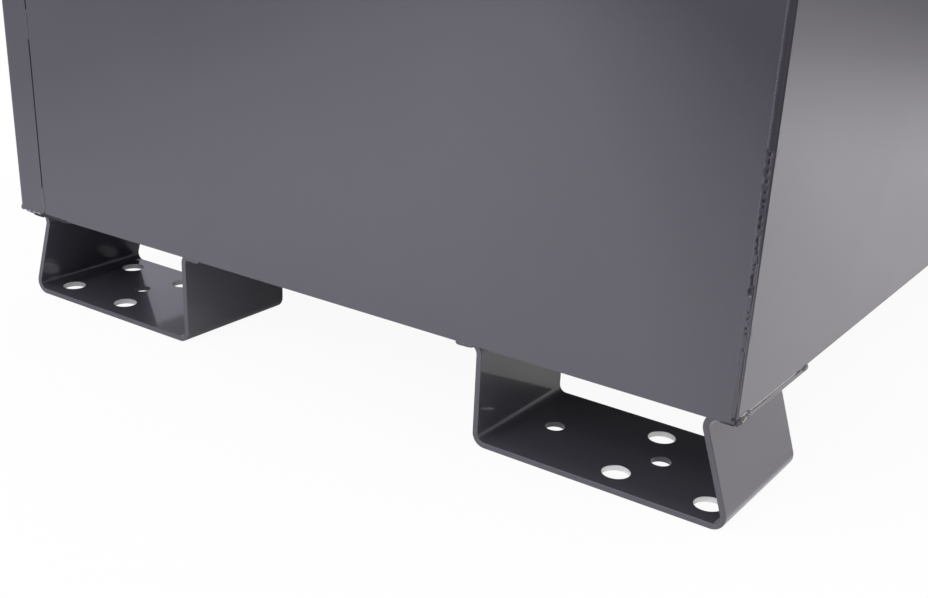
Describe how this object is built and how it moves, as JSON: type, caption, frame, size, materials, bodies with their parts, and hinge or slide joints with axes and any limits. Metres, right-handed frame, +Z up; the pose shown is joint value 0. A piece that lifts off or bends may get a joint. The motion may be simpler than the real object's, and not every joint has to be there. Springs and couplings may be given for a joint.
{
  "type": "jobsite storage box",
  "caption": "Large welded sheet-steel jobsite chest with an overlapping hinged lid on gas springs, recessed lock pockets, swing handles and bent-plate feet drilled for casters.",
  "frame": {"origin": "middle of the footprint, on the ground under the soles of the feet", "axes": "+Z up, +X along the length to the right seen from the front, +Y from the front to the hinge at the back"},
  "size_m": [1.267, 0.7896, 0.87],
  "materials": {
    "powder_coat": "semi-gloss powder coat",
    "zinc": "zinc plated",
    "spring_tube": "gloss black paint",
    "piston_rod": "polished"
  },
  "bodies": {
    "box": {"front_panel": "powder_coat", "back_panel": "powder_coat", "left_end_panel": "powder_coat", "right_end_panel": "powder_coat", "floor_panel": "powder_coat", "front_rail": "powder_coat", "back_rail": "powder_coat", "left_rail": "powder_coat", "right_rail": "powder_coat", "foot_front_left": "powder_coat", "foot_front_right": "powder_coat", "foot_back_left": "powder_coat", "foot_back_right": "powder_coat", "lock_pocket_left": "powder_coat", "lock_pocket_right": "powder_coat", "lock_plate_left": "powder_coat", "lock_plate_right": "powder_coat", "handle_ears_left": "powder_coat", "handle_ears_right": "powder_coat", "hinge_bar": "powder_coat", "hinge_lower_leaf": "powder_coat", "hinge_pin": "zinc", "spring_lower_bracket_left": "zinc", "spring_lower_bracket_right": "zinc"},
    "lid": {"hinge_upper_leaf": "powder_coat", "lid_panel": "powder_coat", "lid_left_cap": "powder_coat", "lid_right_cap": "powder_coat", "lid_stiffener_left": "powder_coat", "lid_stiffener_right": "powder_coat", "lock_tongue_left": "powder_coat", "lock_tongue_right": "powder_coat", "spring_upper_bracket_left": "zinc", "spring_upper_bracket_right": "zinc"},
    "spring_tube_left": {"spring_tube_left": "spring_tube"},
    "spring_tube_right": {"spring_tube_right": "spring_tube"},
    "spring_rod_left": {"spring_rod_left": "piston_rod"},
    "spring_rod_right": {"spring_rod_right": "piston_rod"},
    "handle_left": {"handle_left": "zinc"},
    "handle_right": {"handle_right": "zinc"}
  },
  "joints": [
    {"name": "lid_hinge", "type": "hinge", "parent": "box", "child": "lid", "pos_m": [0, 0.39, 0.838], "axis": [-1, 0, 0], "range_deg": [0, 85]},
    {"name": "spring_tube_left_pivot", "type": "hinge", "parent": "box", "child": "spring_tube_left", "pos_m": [-0.5535, 0.28055, 0.5373], "axis": [-1, 0, 0], "range_deg": [0, 42.5]},
    {"name": "spring_rod_left_pivot", "type": "hinge", "parent": "lid", "child": "spring_rod_left", "pos_m": [-0.5535, 0.07004, 0.843], "axis": [-1, 0, 0], "range_deg": [-42.5, 0]},
    {"name": "spring_tube_right_pivot", "type": "hinge", "parent": "box", "child": "spring_tube_right", "pos_m": [0.5535, 0.28055, 0.5373], "axis": [-1, 0, 0], "range_deg": [0, 42.5]},
    {"name": "spring_rod_right_pivot", "type": "hinge", "parent": "lid", "child": "spring_rod_right", "pos_m": [0.5535, 0.07004, 0.843], "axis": [-1, 0, 0], "range_deg": [-42.5, 0]},
    {"name": "handle_left_swing", "type": "hinge", "parent": "box", "child": "handle_left", "pos_m": [-0.6235, 0, 0.64], "axis": [0, 1, 0], "range_deg": [0, 100]},
    {"name": "handle_right_swing", "type": "hinge", "parent": "box", "child": "handle_right", "pos_m": [0.6235, 0, 0.64], "axis": [0, -1, 0], "range_deg": [0, 100]}
  ],
  "couplings": [
    {"joint": "spring_tube_left_pivot", "follows": "lid_hinge", "ratio": 0.5},
    {"joint": "spring_rod_left_pivot", "follows": "lid_hinge", "ratio": -0.5},
    {"joint": "spring_tube_right_pivot", "follows": "lid_hinge", "ratio": 0.5},
    {"joint": "spring_rod_right_pivot", "follows": "lid_hinge", "ratio": -0.5}
  ]
}
